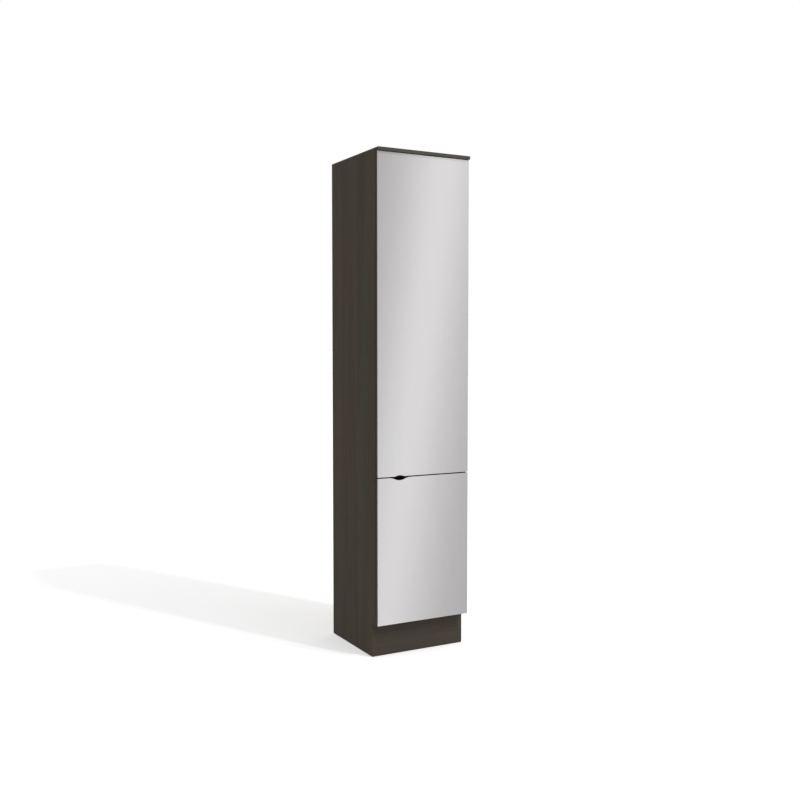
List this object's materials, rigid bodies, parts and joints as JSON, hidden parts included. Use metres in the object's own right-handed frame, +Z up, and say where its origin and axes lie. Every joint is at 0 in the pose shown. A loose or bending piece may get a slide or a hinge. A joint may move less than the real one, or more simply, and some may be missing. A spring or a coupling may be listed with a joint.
{
  "type": "tall kitchen cabinet",
  "caption": "Tall narrow kitchen cabinet with a dark wood-grain carcass, adjustable shelves, and an upper and a lower glossy door that share a finger notch.",
  "frame": {"origin": "on the floor, under the middle of the overall box", "axes": "+Z up, -Y towards the doors, +X to the right seen from the front"},
  "size_m": [0.4, 0.409, 1.92],
  "materials": {
    "dark_woodgrain_board": "dark brown-grey wood-grain melamine, satin",
    "door_core_board": "dark melamine reverse side, satin",
    "door_gloss_face": "light grey high gloss",
    "dark_edge_band": "dark brown-grey edge band, satin",
    "hardboard_back": "printed dark face on hardboard, matt",
    "plated_steel": "zinc plated",
    "zinc_casting": "die-cast zinc, dull",
    "brown_plastic": "dark brown moulded plastic",
    "beech_dowel": "fluted beech, raw",
    "black_plastic": "black moulded plastic",
    "clear_rubber": "clear soft dome",
    "nickel_steel": "nickel plated stamped steel"
  },
  "bodies": {
    "carcass": {"left_side_panel": "dark_woodgrain_board", "right_side_panel": "dark_woodgrain_board", "top_board": "dark_woodgrain_board", "bottom_panel": "dark_woodgrain_board", "fixed_shelf": "dark_woodgrain_board", "lower_shelf": "dark_woodgrain_board", "upper_shelf_1": "dark_woodgrain_board", "upper_shelf_2": "dark_woodgrain_board", "upper_shelf_3": "dark_woodgrain_board", "plinth_board": "dark_woodgrain_board", "rear_plinth_rail": "dark_woodgrain_board", "rear_top_rail": "dark_woodgrain_board", "back_panel_lower": "hardboard_back", "back_panel_upper": "hardboard_back", "back_panel_joiner": "brown_plastic", "side_edge_strips": "dark_edge_band", "top_edge_strip": "dark_edge_band", "fixed_panel_edge_strips": "dark_edge_band", "shelf_edge_strips": "dark_edge_band", "shelf_pins": "plated_steel", "cam_locks": "zinc_casting", "cam_bolts": "plated_steel", "cam_caps": "brown_plastic", "dowels": "beech_dowel", "floor_glides": "black_plastic", "hinge_arms": "nickel_steel", "hinge_pins": "nickel_steel", "hinge_mounting_plates": "nickel_steel", "hinge_plate_screws": "plated_steel", "hinge_arm_screws": "plated_steel"},
    "lower_door": {"lower_door_board": "door_core_board", "lower_door_facing": "door_gloss_face", "lower_door_edge_band": "dark_edge_band", "lower_hinge_cups": "nickel_steel", "lower_cup_screws": "plated_steel", "lower_door_bumpers": "clear_rubber"},
    "upper_door": {"upper_door_board": "door_core_board", "upper_door_facing": "door_gloss_face", "upper_door_edge_band": "dark_edge_band", "upper_hinge_cups": "nickel_steel", "upper_cup_screws": "plated_steel", "upper_door_bumpers": "clear_rubber"},
    "lower_links": {"lower_hinge_links": "nickel_steel"},
    "upper_links": {"upper_hinge_links": "nickel_steel"}
  },
  "joints": [
    {"name": "lower_door_hinge", "type": "hinge", "parent": "carcass", "child": "lower_door", "pos_m": [0.197, -0.1939, 0.41], "axis": [0, 0, 1], "range_deg": [0, 100]},
    {"name": "lower_link_swing", "type": "hinge", "parent": "carcass", "child": "lower_links", "pos_m": [0.1642, -0.1883, 0.41], "axis": [0, 0, 1], "range_deg": [-32, 0]},
    {"name": "upper_door_hinge", "type": "hinge", "parent": "carcass", "child": "upper_door", "pos_m": [0.197, -0.1939, 1.3], "axis": [0, 0, 1], "range_deg": [0, 100]},
    {"name": "upper_link_swing", "type": "hinge", "parent": "carcass", "child": "upper_links", "pos_m": [0.1642, -0.1883, 1.3], "axis": [0, 0, 1], "range_deg": [-32, 0]}
  ],
  "couplings": [
    {"joint": "lower_link_swing", "follows": "lower_door_hinge", "ratio": -0.32},
    {"joint": "upper_link_swing", "follows": "upper_door_hinge", "ratio": -0.32}
  ]
}
